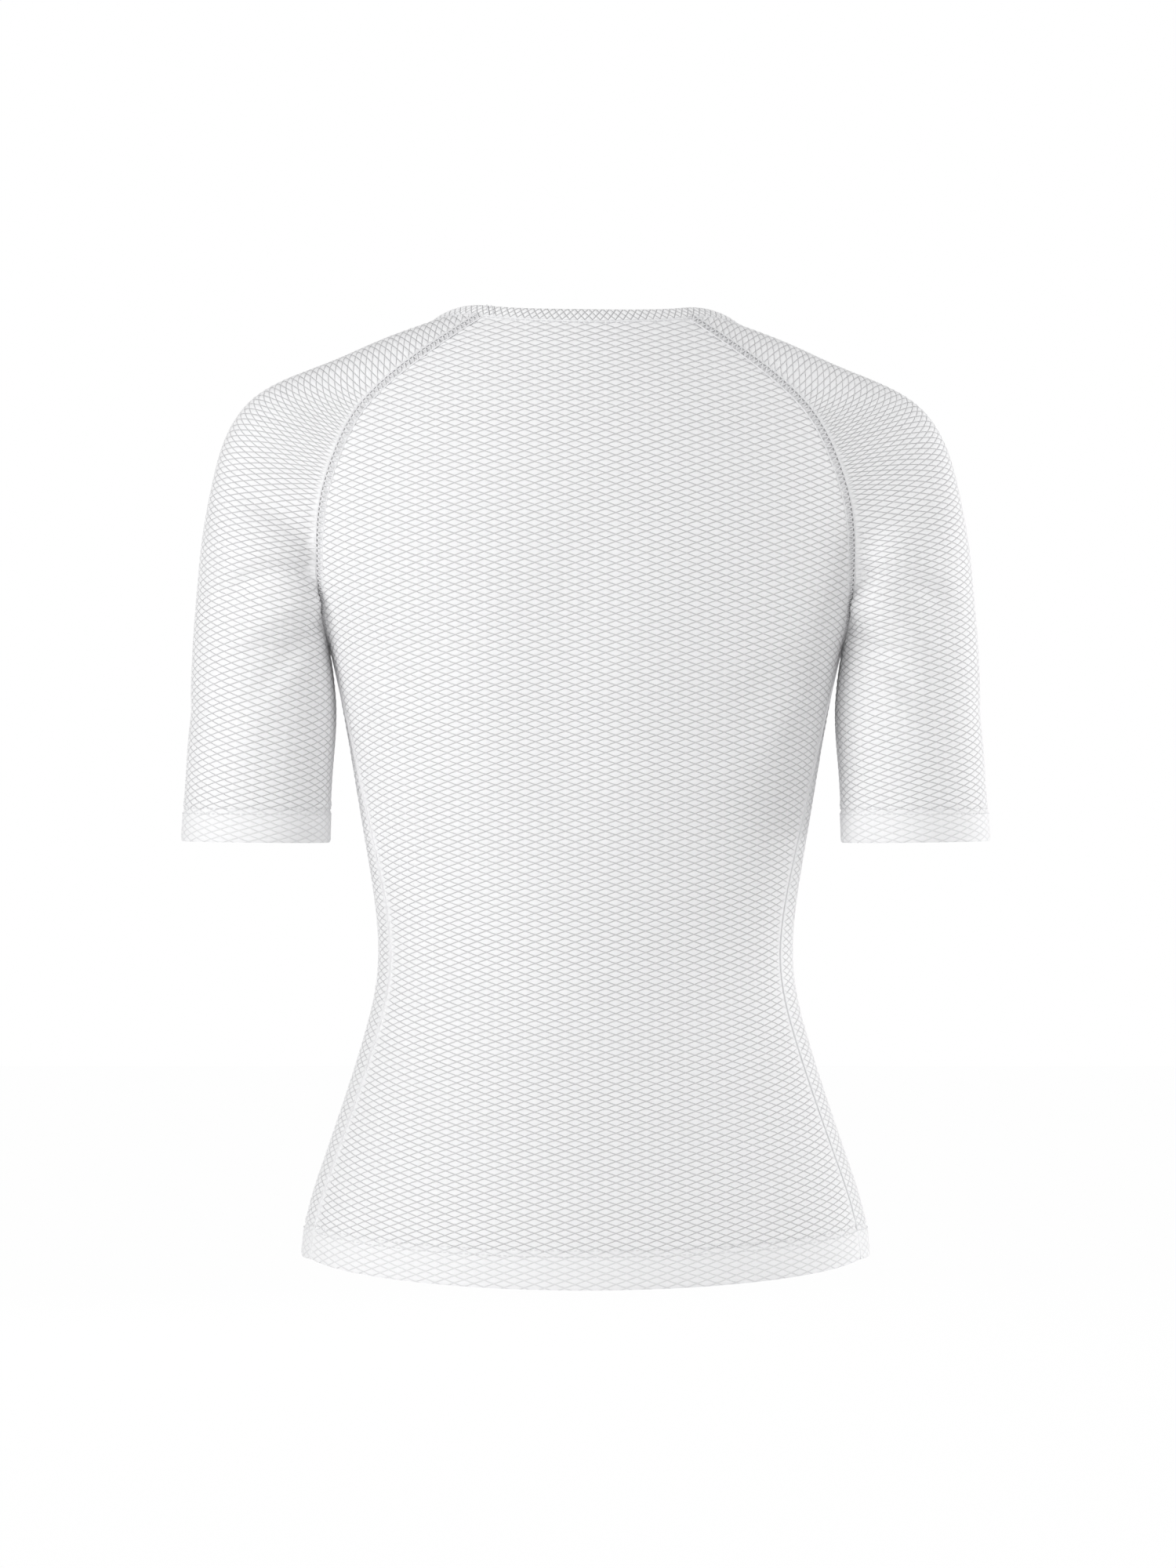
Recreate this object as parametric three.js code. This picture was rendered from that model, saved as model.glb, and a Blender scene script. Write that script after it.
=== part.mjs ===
// A women's short-sleeved mesh base layer, as worn: two torso panels, two raglan sleeves and a neckband.
// Millimetres, +Z up. X runs to the wearer's left and the wearer faces -Y. The origin lies inside the neck
// opening, level with the tops of the shoulders, where the wearer carries the garment.
import * as THREE from "three";

// ---- Driving dimensions --------------------------------------------------------------------------------

const WALL = 1.2; // one layer of the mesh knit
const HEM_WALL = 2.2; // the knit turned up on itself
const HEM_DEPTH = 19; // turned-up hem at the bottom and at the cuffs
const SEAM_GAP = 0.3; // between two pieces that are sewn together
const UNDER_GAP = 1.4; // more of a gap where the sleeve folds back on the torso, under the arm
const BAND_HEIGHT = 7;
const BAND_WALL = 2.4;
const BAND_GAP = 0.4; // between the neck edge and the band
const UNDERARM_Z = -203; // where the side seam, both raglan seams and the sleeve seam meet
const HEM_SIDE_Z = -559;
const HEM_DIP = { back: 11, front: 4 }; // how much lower the hem is at the centre than at the side seams
const NECK_EDGE = { back: { z: -12, dip: 4.5 }, front: { z: -41, dip: 47 } }; // at the raglan seams
const LEAN = { slope: 0.011, from: -320, to: -80 }; // the worn shoulders tip up on the left, by this much of X
const NECK_FLAT = { back: 0, front: 0.32 }; // how far the neckline runs out flatter towards the seams

// Torso sections, from the neck down. half: half width. side, back, front: where the section is widest, the
// centre back and the centre front, along Y. fullBack, fullFront: how square the section is, 0.55 being an
// ellipse. Above the underarm the section runs on behind the sleeves.
const TORSO = [
  { z: 10, half: 60, side: 0, back: 46, front: -38, fullBack: 0.55, fullFront: 0.55 },
  { z: -12, half: 94, side: 0, back: 61, front: -50, fullBack: 0.55, fullFront: 0.55 },
  { z: -25, half: 118, side: 0, back: 68, front: -57, fullBack: 0.55, fullFront: 0.55 },
  { z: -50, half: 149, side: 0, back: 78, front: -69, fullBack: 0.55, fullFront: 0.55 },
  { z: -76, half: 167, side: 0, back: 85, front: -80, fullBack: 0.56, fullFront: 0.56 },
  { z: -104, half: 174, side: 0, back: 89, front: -90, fullBack: 0.58, fullFront: 0.57 },
  { z: -130, half: 173, side: 0, back: 90, front: -99, fullBack: 0.6, fullFront: 0.58 },
  { z: -160, half: 166, side: 0, back: 89, front: -108, fullBack: 0.61, fullFront: 0.59 },
  { z: -185, half: 156.5, side: 0, back: 87, front: -114, fullBack: 0.61, fullFront: 0.6 },
  { z: -203, half: 150, side: 0, back: 84.5, front: -117, fullBack: 0.6, fullFront: 0.6 },
  { z: -228, half: 144.5, side: -1, back: 81, front: -119, fullBack: 0.59, fullFront: 0.61 },
  { z: -255, half: 139.6, side: -3, back: 77, front: -118, fullBack: 0.58, fullFront: 0.61 },
  { z: -283, half: 135, side: -5, back: 73, front: -113.5, fullBack: 0.57, fullFront: 0.6 },
  { z: -320, half: 129, side: -8, back: 68, front: -105, fullBack: 0.56, fullFront: 0.58 },
  { z: -356, half: 123.6, side: -10, back: 64, front: -97, fullBack: 0.56, fullFront: 0.57 },
  { z: -384, half: 122, side: -10, back: 63.5, front: -94, fullBack: 0.56, fullFront: 0.56 },
  { z: -405, half: 124, side: -9, back: 65.5, front: -94.5, fullBack: 0.57, fullFront: 0.56 },
  { z: -430, half: 130, side: -8, back: 71, front: -97.5, fullBack: 0.58, fullFront: 0.57 },
  { z: -467, half: 141.5, side: -6, back: 82, front: -104, fullBack: 0.59, fullFront: 0.58 },
  { z: -504, half: 154, side: -4, back: 93, front: -110.5, fullBack: 0.6, fullFront: 0.58 },
  { z: -535, half: 163.3, side: -3, back: 100, front: -114.5, fullBack: 0.6, fullFront: 0.58 },
  { z: -570, half: 167, side: -3, back: 103, front: -116.5, fullBack: 0.6, fullFront: 0.58 },
];

// The side seam, as a share of the way round a quarter section from the centre back to the widest place.
const SIDE_SEAM = [
  { z: -203, share: 1 },
  { z: -228, share: 0.93 },
  { z: -255, share: 0.885 },
  { z: -283, share: 0.85 },
  { z: -320, share: 0.81 },
  { z: -384, share: 0.765 },
  { z: -430, share: 0.77 },
  { z: -504, share: 0.795 },
  { z: -570, share: 0.815 },
];

// The raglan seams, as their distance from the centre line at each height.
const RAGLAN_BACK = [
  { z: -12, x: 62 },
  { z: -37, x: 98.7 },
  { z: -63, x: 128 },
  { z: -91, x: 144 },
  { z: -119, x: 152.7 },
  { z: -152, x: 155.3 },
  { z: -185, x: 153.3 },
  { z: -203, x: 150 },
];
const RAGLAN_FRONT = [
  { z: -41, x: 82 },
  { z: -60, x: 100 },
  { z: -82, x: 117.5 },
  { z: -107, x: 132 },
  { z: -134, x: 143 },
  { z: -160, x: 149.5 },
  { z: -185, x: 152 },
  { z: -203, x: 150 },
];

// Sleeve sections, from the neck down. x, y, z: the outermost line, over the shoulder and down the arm.
// backZ, frontZ: the height where the section meets each raglan seam. seam, ridge: how far the section
// reaches out from the seam and from the outermost line, as a share of the straight way between them.
// wrap: 0 where the sleeve runs on smoothly from the torso, 1 where it turns under the arm.
const SLEEVE = [
  { x: 93, y: 5, z: -17, backZ: -12, frontZ: -41, seam: 0.34, ridge: 0.36, wrap: 0 },
  { x: 122, y: 3, z: -27, backZ: -25, frontZ: -54, seam: 0.34, ridge: 0.4, wrap: 0 },
  { x: 149, y: 1, z: -39, backZ: -39.5, frontZ: -69, seam: 0.34, ridge: 0.43, wrap: 0 },
  { x: 174.5, y: -0.5, z: -49, backZ: -55, frontZ: -84, seam: 0.34, ridge: 0.46, wrap: 0.02 },
  { x: 196.3, y: -2, z: -61.8, backZ: -74, frontZ: -100, seam: 0.34, ridge: 0.49, wrap: 0.08 },
  { x: 210.4, y: -3, z: -82, backZ: -98, frontZ: -119, seam: 0.34, ridge: 0.51, wrap: 0.2 },
  { x: 219.2, y: -4, z: -112, backZ: -125, frontZ: -139, seam: 0.36, ridge: 0.54, wrap: 0.38 },
  { x: 225, y: -4.5, z: -143, backZ: -152, frontZ: -160, seam: 0.42, ridge: 0.57, wrap: 0.58 },
  { x: 228.2, y: -5, z: -172, backZ: -176, frontZ: -180, seam: 0.52, ridge: 0.61, wrap: 0.78 },
  { x: 230, y: -5, z: -193, backZ: -193, frontZ: -194.5, seam: 0.63, ridge: 0.65, wrap: 0.93 },
  { x: 230.9, y: -5, z: -207, backZ: -203, frontZ: -203, seam: 0.69, ridge: 0.68, wrap: 1 },
  { x: 232.3, y: -5.5, z: -237, seam: 0.7, ridge: 0.69, wrap: 1, innerX: 146.6, innerY: -2, innerZ: -236 },
  { x: 234.8, y: -6.5, z: -277, seam: 0.7, ridge: 0.7, wrap: 1, innerX: 148.8, innerY: -4, innerZ: -277 },
  { x: 237.4, y: -7.5, z: -316.5, seam: 0.7, ridge: 0.7, wrap: 1, innerX: 150.6, innerY: -6, innerZ: -317.5 },
];

// ---- Curves --------------------------------------------------------------------------------------------

// The natural cubic spline through the points (xs, ys), for any order of xs.
function spline(xs, ys) {
  const order = xs.map((_, i) => i).sort((i, j) => xs[i] - xs[j]);
  const x = order.map((i) => xs[i]);
  const y = order.map((i) => ys[i]);
  const last = x.length - 1;
  const bend = new Array(last + 1).fill(0);
  const carry = new Array(last + 1).fill(0);
  for (let i = 1; i < last; i++) {
    const share = (x[i] - x[i - 1]) / (x[i + 1] - x[i - 1]);
    const pivot = share * bend[i - 1] + 2;
    const turn = (y[i + 1] - y[i]) / (x[i + 1] - x[i]) - (y[i] - y[i - 1]) / (x[i] - x[i - 1]);
    bend[i] = (share - 1) / pivot;
    carry[i] = ((6 * turn) / (x[i + 1] - x[i - 1]) - share * carry[i - 1]) / pivot;
  }
  for (let i = last - 1; i >= 0; i--) bend[i] = bend[i] * bend[i + 1] + carry[i];
  return (at) => {
    let i = 0;
    while (i < last - 1 && at > x[i + 1]) i++;
    const wide = x[i + 1] - x[i];
    const a = (x[i + 1] - at) / wide;
    const b = (at - x[i]) / wide;
    return a * y[i] + b * y[i + 1] + (((a ** 3 - a) * bend[i] + (b ** 3 - b) * bend[i + 1]) * wide ** 2) / 6;
  };
}

const column = (table, from, to) =>
  spline(
    table.map((row) => row[from]),
    table.map((row) => row[to]),
  );

const bezier = (p, t) => {
  const s = 1 - t;
  return s ** 3 * p[0] + 3 * s * s * t * p[1] + 3 * s * t * t * p[2] + t ** 3 * p[3];
};

// ---- Torso ---------------------------------------------------------------------------------------------

const torso = Object.fromEntries(
  ["half", "side", "back", "front", "fullBack", "fullFront"].map((key) => [key, column(TORSO, "z", key)]),
);
const sideShare = column(SIDE_SEAM, "z", "share");
const raglanX = { back: column(RAGLAN_BACK, "z", "x"), front: column(RAGLAN_FRONT, "z", "x") };

// A point of the half section at height z. way runs from 0 at the centre back, through 1 where the section
// is widest, to 2 at the centre front.
function torsoPoint(way, z) {
  const onBack = way <= 1;
  const share = onBack ? way : 2 - way;
  const half = torso.half(z);
  const side = torso.side(z);
  const full = onBack ? torso.fullBack(z) : torso.fullFront(z);
  const centre = onBack ? torso.back(z) : torso.front(z);
  return new THREE.Vector3(
    bezier([0, full * half, half, half], share),
    bezier([centre, centre, side + full * (centre - side), side], share),
    z,
  );
}

// The way at which the section at height z is x from the centre line, on the back or the front.
function wayAtX(x, z, onBack) {
  let low = 0;
  let high = 1;
  for (let i = 0; i < 40; i++) {
    const middle = (low + high) / 2;
    if (torsoPoint(middle, z).x < x) low = middle;
    else high = middle;
  }
  return onBack ? high : 2 - high;
}

// The way at which a panel's edge lies at height z: the side seam, or the raglan seam above the underarm.
function edgeWay(z, onBack) {
  if (z <= UNDERARM_Z) return sideShare(z);
  return wayAtX(raglanX[onBack ? "back" : "front"](z), z, onBack);
}

// The point that lies a share of the length along the section from the panel's centre to its edge.
const ARC_STEPS = 40;
function pointAlong(share, z, onBack, trim) {
  const from = onBack ? 0 : 2;
  const to = edgeWay(z, onBack);
  const ways = Array.from({ length: ARC_STEPS + 1 }, (_, i) => from + ((to - from) * i) / ARC_STEPS);
  const points = ways.map((way) => torsoPoint(way, z));
  const lengths = [0];
  for (let i = 1; i <= ARC_STEPS; i++) lengths.push(lengths[i - 1] + points[i].distanceTo(points[i - 1]));
  const target = share * (lengths[ARC_STEPS] - trim);
  let i = 1;
  while (i < ARC_STEPS && lengths[i] < target) i++;
  const part = (target - lengths[i - 1]) / (lengths[i] - lengths[i - 1]);
  return torsoPoint(ways[i - 1] + (ways[i] - ways[i - 1]) * part, z);
}

// How much lower the panel's centre is than its edge, at the edge's height z.
function dipAt(z, which) {
  const top = NECK_EDGE[which];
  const reach = 1.6 * top.dip + 20;
  const nearHem = Math.max(0, 1 - (z - HEM_SIDE_Z) / 160);
  const nearNeck = Math.max(0, 1 - (top.z - z) / reach);
  return HEM_DIP[which] * nearHem ** 2 + top.dip * nearNeck ** 1.5;
}

// A point of a torso panel: across from -1 to 1 between its edges, z the height at its edge.
function panelPoint(across, z, which) {
  const onBack = which === "back";
  const square = across ** 2;
  const height = z - dipAt(z, which) * (1 - square) * (1 - NECK_FLAT[which] * square);
  const point = pointAlong(Math.abs(across), height, onBack, SEAM_GAP / 2);
  return across < 0 ? point.setX(-point.x) : point;
}

// ---- Sleeves -------------------------------------------------------------------------------------------

// The distance down the sleeve along its outermost line, at each section.
const stations = [0];
for (let i = 1; i < SLEEVE.length; i++) {
  const [a, b] = [SLEEVE[i - 1], SLEEVE[i]];
  stations.push(stations[i - 1] + Math.hypot(b.x - a.x, b.y - a.y, b.z - a.z));
}
const sleeveLength = stations.at(-1);
const underarmRow = SLEEVE.findIndex((row) => row.z < UNDERARM_Z);
const underarmStation = stations[underarmRow];
const sleeveColumn = (key, from = 0, to = SLEEVE.length) =>
  spline(
    stations.slice(from, to),
    SLEEVE.slice(from, to).map((row) => row[key]),
  );
const sleeve = Object.fromEntries(["x", "y", "z", "seam", "ridge", "wrap"].map((key) => [key, sleeveColumn(key)]));
const seamHeight = {
  back: sleeveColumn("backZ", 0, underarmRow + 1),
  front: sleeveColumn("frontZ", 0, underarmRow + 1),
};
Object.assign(SLEEVE[underarmRow], { innerX: torso.half(UNDERARM_Z) + UNDER_GAP, innerY: 0, innerZ: UNDERARM_Z });
const inner = Object.fromEntries(["innerX", "innerY", "innerZ"].map((key) => [key, sleeveColumn(key, underarmRow)]));

const BACKWARDS = new THREE.Vector3(0, 1, 0);

// The torso's outward normal at a way round and a height.
function torsoNormal(way, z) {
  const step = 0.002;
  const round = torsoPoint(Math.min(way + step, 2), z).sub(torsoPoint(Math.max(way - step, 0), z));
  const up = torsoPoint(way, z + 0.5).sub(torsoPoint(way, z - 0.5));
  return up.cross(round).normalize();
}

// Where a sleeve section leaves its seam, and the direction in which it does, on the back or the front.
function seamEnd(along, which, ridge) {
  const backwards = which === "back" ? 1 : -1;
  const under = BACKWARDS.clone().multiplyScalar(backwards);
  if (along >= underarmStation) {
    const point = new THREE.Vector3(inner.innerX(along), inner.innerY(along), inner.innerZ(along));
    return { point: point.addScaledVector(under, SEAM_GAP / 2), direction: under };
  }
  const z = Math.max(seamHeight[which](along), UNDERARM_Z);
  const way = edgeWay(z + 1e-6, which === "back");
  const point = torsoPoint(way, z);
  const outwards = ridge.clone().sub(point);
  const normal = torsoNormal(way, z);
  const onTorso = outwards.clone().addScaledVector(normal, -outwards.dot(normal)).normalize();
  const wrap = Math.min(Math.max(sleeve.wrap(along), 0), 1);
  const direction = onTorso.multiplyScalar(1 - wrap).addScaledVector(under, wrap).normalize();
  point.addScaledVector(outwards.normalize(), SEAM_GAP).addScaledVector(normal, UNDER_GAP * wrap);
  return { point: point.addScaledVector(under, SEAM_GAP / 2), direction };
}

// A point of the wearer's left sleeve: round from -1 at the back seam, through 0 on the outermost line, to 1
// at the front seam, and along from 0 at the neck to sleeveLength at the cuff.
function sleevePoint(round, along) {
  const ridge = new THREE.Vector3(sleeve.x(along), sleeve.y(along), sleeve.z(along));
  const ends = { back: seamEnd(along, "back", ridge), front: seamEnd(along, "front", ridge) };
  const across = ends.back.point.clone().sub(ends.front.point).addScaledVector(BACKWARDS, 60).normalize();
  const which = round < 0 ? "back" : "front";
  const { point, direction } = ends[which];
  const chord = ridge.distanceTo(point);
  const controls = [
    point,
    point.clone().addScaledVector(direction, sleeve.seam(along) * chord),
    ridge.clone().addScaledVector(across, (round < 0 ? 1 : -1) * sleeve.ridge(along) * chord),
    ridge,
  ];
  const share = 1 - Math.abs(round);
  return new THREE.Vector3(...["x", "y", "z"].map((axis) => bezier(controls.map((p) => p[axis]), share)));
}

// ---- Solids --------------------------------------------------------------------------------------------

// A closed wall: pointAt(i, j) is its outer face on a grid, whose normal points out where i turns into j.
function clothWall(columns, rows, surfaceAt, thicknessAt) {
  const outer = [];
  const inside = [];
  for (let j = 0; j < rows.length; j++)
    for (let i = 0; i < columns.length; i++) {
      const [u, v] = [columns[i], rows[j]];
      const [low, high] = [Math.max(u - 0.01, columns[0]), Math.min(u + 0.01, columns.at(-1))];
      const [under, over] = [Math.max(v - 0.5, rows[0]), Math.min(v + 0.5, rows.at(-1))];
      const round = surfaceAt(high, v).sub(surfaceAt(low, v));
      const down = surfaceAt(u, over).sub(surfaceAt(u, under));
      const normal = round.cross(down).normalize();
      const point = surfaceAt(u, v);
      outer.push(point);
      inside.push(point.clone().addScaledVector(normal, -thicknessAt(v)));
    }
  return joinFaces(outer, inside, columns.length, rows.length);
}

// The closed mesh of two grids of points that face away from each other.
function joinFaces(outer, inside, wide, high) {
  const index = [];
  const quad = (a, b, c, d) => index.push(a, b, c, a, c, d);
  const at = (i, j) => j * wide + i;
  const under = (i, j) => outer.length + at(i, j);
  for (let j = 0; j + 1 < high; j++)
    for (let i = 0; i + 1 < wide; i++) {
      quad(at(i, j), at(i + 1, j), at(i + 1, j + 1), at(i, j + 1));
      quad(under(i, j), under(i, j + 1), under(i + 1, j + 1), under(i + 1, j));
    }
  for (let i = 0; i + 1 < wide; i++) {
    quad(at(i + 1, 0), at(i, 0), under(i, 0), under(i + 1, 0));
    quad(at(i, high - 1), at(i + 1, high - 1), under(i + 1, high - 1), under(i, high - 1));
  }
  for (let j = 0; j + 1 < high; j++) {
    quad(at(0, j), at(0, j + 1), under(0, j + 1), under(0, j));
    quad(at(wide - 1, j + 1), at(wide - 1, j), under(wide - 1, j), under(wide - 1, j + 1));
  }
  return geometryOf([...outer, ...inside], index);
}

function geometryOf(points, index) {
  const geometry = new THREE.BufferGeometry().setFromPoints(points).setIndex(index);
  geometry.computeVertexNormals();
  return geometry;
}

const evenly = (from, to, count) => Array.from({ length: count + 1 }, (_, i) => from + ((to - from) * i) / count);

// Heights or stations with a step in thickness HEM_DEPTH from the hem, at the end of the list given last.
const STEP = 0.6;
const hemThickness = (fromHem) => (fromHem < HEM_DEPTH + STEP / 2 ? HEM_WALL : WALL);

const SLEEVE_STEPS = 13; // from the neck to the underarm, closer together where the seam turns under the arm
const sleeveStations = [
  ...evenly(0, SLEEVE_STEPS, SLEEVE_STEPS).map((i) => underarmStation * (1 - (1 - i / SLEEVE_STEPS) ** 1.2)),
  ...evenly(underarmStation, sleeveLength - HEM_DEPTH - STEP, 5).slice(1),
  sleeveLength - HEM_DEPTH,
  sleeveLength,
];

// Edge heights of a torso panel, from the neck down. Along the raglan seams they are the sleeve's own.
function panelRows(which) {
  return [
    ...sleeveStations.slice(0, SLEEVE_STEPS).map((along) => seamHeight[which](along)),
    UNDERARM_Z,
    ...evenly(UNDERARM_Z, HEM_SIDE_Z + HEM_DEPTH + STEP, 10).slice(1),
    HEM_SIDE_Z + HEM_DEPTH,
    HEM_SIDE_Z + HEM_DEPTH / 2,
    HEM_SIDE_Z,
  ];
}

function torsoPanel(which, columns) {
  const turned = which === "back" ? 1 : -1; // the front is laid out the other way round, to face out too
  return clothWall(
    evenly(-1, 1, columns),
    panelRows(which),
    (across, z) => panelPoint(-across * turned, z, which),
    (z) => hemThickness(z - HEM_SIDE_Z),
  );
}

function sleeveWall() {
  return clothWall(evenly(-1, 1, 18), sleeveStations, sleevePoint, (along) => hemThickness(sleeveLength - along));
}

// The neck edge, once round from the centre back over the wearer's left shoulder: each point of it with the
// direction in which the cloth runs up to it and the cloth's outward normal.
function neckEdge() {
  const BACK_STEPS = 7;
  const SIDE_STEPS = 12;
  const FRONT_STEPS = 11;
  const local = (surfaceAt, u, v, du, dv) => {
    const point = surfaceAt(u, v);
    const up = point.clone().sub(surfaceAt(u, v + dv)).normalize();
    const round = surfaceAt(u + du, v).sub(surfaceAt(u - du, v));
    return { point, up, normal: round.cross(up).normalize().negate() };
  };
  const [back, front] = [NECK_EDGE.back.z, NECK_EDGE.front.z];
  const half = [
    ...evenly(0, 0.985, BACK_STEPS).map((u) => local((a, z) => panelPoint(a, z, "back"), u, back, 0.01, -3)),
    ...evenly(-0.96, 0.95, SIDE_STEPS).map((u) => local(sleevePoint, u, 0, 0.01, 3)),
    ...evenly(0.96, 0, FRONT_STEPS).map((u) => local((a, z) => panelPoint(a, z, "front"), u, front, -0.01, -3)),
  ];
  const mirrored = half
    .slice(1, -1)
    .reverse()
    .map(({ point, up, normal }) => ({
      point: point.clone().setX(-point.x),
      up: up.clone().setX(-up.x),
      normal: normal.clone().setX(-normal.x),
    }));
  return [...half, ...mirrored];
}

// The band stands on the neck edge all round, its faces set out evenly from the cloth's two faces.
function neckband() {
  const RISE = 0.35; // how far the band leans up from the cloth's own direction
  const proud = (BAND_WALL - WALL) / 2;
  const edge = neckEdge();
  const points = [];
  for (const { point, up, normal } of edge) {
    const rise = up.clone().add(new THREE.Vector3(0, 0, RISE)).normalize();
    const foot = point.clone().addScaledVector(up, BAND_GAP);
    const place = (out, high) => points.push(foot.clone().addScaledVector(normal, out).addScaledVector(rise, high));
    place(proud * 0.5, 0);
    place(proud, 1);
    place(proud, BAND_HEIGHT - 1);
    place(0, BAND_HEIGHT);
    place(-WALL, BAND_HEIGHT);
    place(-WALL - proud, BAND_HEIGHT - 1);
    place(-WALL - proud, 1);
    place(-WALL - proud * 0.5, 0);
  }
  const sides = 8;
  const index = [];
  edge.forEach((_, i) => {
    for (let k = 0; k < sides; k++) {
      const [a, b] = [i * sides + k, i * sides + ((k + 1) % sides)];
      const next = ((i + 1) % edge.length) * sides;
      const [c, d] = [next + ((k + 1) % sides), next + k];
      index.push(a, b, c, a, c, d);
    }
  });
  return geometryOf(points, index);
}

// The same solid on the other side of the body.
function mirrored(geometry) {
  const copy = geometry.clone().applyMatrix4(new THREE.Matrix4().makeScale(-1, 1, 1));
  const index = copy.getIndex().array;
  for (let i = 0; i < index.length; i += 3) [index[i], index[i + 1]] = [index[i + 1], index[i]];
  copy.computeVertexNormals();
  return copy;
}

// The worn garment's tip, added last to every piece.
function leaning(geometry) {
  const position = geometry.getAttribute("position");
  for (let i = 0; i < position.count; i++) {
    const [x, z] = [position.getX(i), position.getZ(i)];
    const ramp = THREE.MathUtils.smoothstep(z, LEAN.from, LEAN.to);
    position.setZ(i, z + LEAN.slope * x * ramp);
  }
  geometry.computeVertexNormals();
  return geometry;
}

// ---- The garment ---------------------------------------------------------------------------------------

const knit = new THREE.MeshStandardMaterial({ color: 0xf1f1f1, roughness: 0.8, metalness: 0 });
const binding = new THREE.MeshStandardMaterial({ color: 0xeeeeee, roughness: 0.75, metalness: 0 });

function piece(name, geometry, material) {
  const mesh = new THREE.Mesh(leaning(geometry), material);
  mesh.name = name;
  return mesh;
}

const garment = new THREE.Group();
garment.add(
  piece("back_panel", torsoPanel("back", 16), knit),
  piece("front_panel", torsoPanel("front", 20), knit),
  piece("left_sleeve", sleeveWall(), knit),
  piece("right_sleeve", mirrored(sleeveWall()), knit),
  piece("neckband", neckband(), binding),
);

export default garment;
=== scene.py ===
import math

import bpy
import numpy as np
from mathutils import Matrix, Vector


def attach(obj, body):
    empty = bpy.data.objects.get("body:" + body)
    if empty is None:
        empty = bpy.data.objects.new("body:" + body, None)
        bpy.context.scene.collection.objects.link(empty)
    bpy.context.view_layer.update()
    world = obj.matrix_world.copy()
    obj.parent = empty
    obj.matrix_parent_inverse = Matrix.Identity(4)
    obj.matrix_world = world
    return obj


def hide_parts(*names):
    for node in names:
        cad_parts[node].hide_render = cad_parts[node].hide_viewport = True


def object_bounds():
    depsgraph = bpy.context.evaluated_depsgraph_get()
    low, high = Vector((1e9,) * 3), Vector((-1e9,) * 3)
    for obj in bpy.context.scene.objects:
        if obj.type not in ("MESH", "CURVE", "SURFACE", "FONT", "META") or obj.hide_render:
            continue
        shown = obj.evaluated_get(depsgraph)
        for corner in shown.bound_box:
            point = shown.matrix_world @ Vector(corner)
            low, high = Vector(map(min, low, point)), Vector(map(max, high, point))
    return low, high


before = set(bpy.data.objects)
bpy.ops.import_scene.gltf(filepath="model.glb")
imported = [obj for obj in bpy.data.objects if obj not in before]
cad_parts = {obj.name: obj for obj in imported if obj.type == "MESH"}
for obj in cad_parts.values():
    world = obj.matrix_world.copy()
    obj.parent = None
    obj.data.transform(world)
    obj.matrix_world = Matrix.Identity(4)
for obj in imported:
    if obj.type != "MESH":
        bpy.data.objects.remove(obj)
cad_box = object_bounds()

# Sizes are in millimetres, as a pattern maker writes them, and become metres where a mesh is made.
MM = 0.001

# ---- The worn form, as its solids have it ---------------------------------------------------------------

WALL = 1.1            # one layer of the knit
HEM_WALL = 2.0        # the knit turned up on itself
HEM_DEPTH = 19.0      # the turned-up hem, at the bottom and at the cuffs
SEAM_GAP = 0.24       # between two cut edges that are sewn edge to edge
UNDER_GAP = 0.5       # more, where the sleeve folds back on the torso
UNDERARM_Z = -203.0   # where the side, sleeve and raglan seams meet
HEM_SIDE_Z = -559.0
HEM_DIP = {"back": 11.0, "front": 4.0}
NECK_EDGE = {"back": (-12.0, 4.5), "front": (-41.0, 47.0)}  # height at the raglan seams, and the dip
NECK_FLAT = {"back": 0.0, "front": 0.32}
LEAN_SLOPE, LEAN_FROM, LEAN_TO = 0.011, -320.0, -80.0

# Torso sections: height, half width, widest line, centre back, centre front, fullness back and front.
TORSO = np.array([
    (10, 60, 0, 46, -38, 0.55, 0.55),
    (-12, 94, 0, 61, -50, 0.55, 0.55),
    (-25, 118, 0, 68, -57, 0.55, 0.55),
    (-50, 149, 0, 78, -69, 0.55, 0.55),
    (-76, 167, 0, 85, -80, 0.56, 0.56),
    (-104, 174, 0, 89, -90, 0.58, 0.57),
    (-130, 173, 0, 90, -99, 0.6, 0.58),
    (-160, 166, 0, 89, -108, 0.61, 0.59),
    (-185, 156.5, 0, 87, -114, 0.61, 0.6),
    (-203, 150, 0, 84.5, -117, 0.6, 0.6),
    (-228, 144.5, -1, 81, -119, 0.59, 0.61),
    (-255, 139.6, -3, 77, -118, 0.58, 0.61),
    (-283, 135, -5, 73, -113.5, 0.57, 0.6),
    (-320, 129, -8, 68, -105, 0.56, 0.58),
    (-356, 123.6, -10, 64, -97, 0.56, 0.57),
    (-384, 122, -10, 63.5, -94, 0.56, 0.56),
    (-405, 124, -9, 65.5, -94.5, 0.57, 0.56),
    (-430, 130, -8, 71, -97.5, 0.58, 0.57),
    (-467, 141.5, -6, 82, -104, 0.59, 0.58),
    (-504, 154, -4, 93, -110.5, 0.6, 0.58),
    (-535, 163.3, -3, 100, -114.5, 0.6, 0.58),
    (-570, 167, -3, 103, -116.5, 0.6, 0.58),
])
TORSO_COLUMNS = ("half", "side", "back", "front", "full_back", "full_front")

# The side seam: height, and its share of the way round from the centre back to the widest line.
SIDE_SEAM = np.array([
    (-203, 1), (-228, 0.93), (-255, 0.885), (-283, 0.85), (-320, 0.81),
    (-384, 0.765), (-430, 0.77), (-504, 0.795), (-570, 0.815),
])

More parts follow.
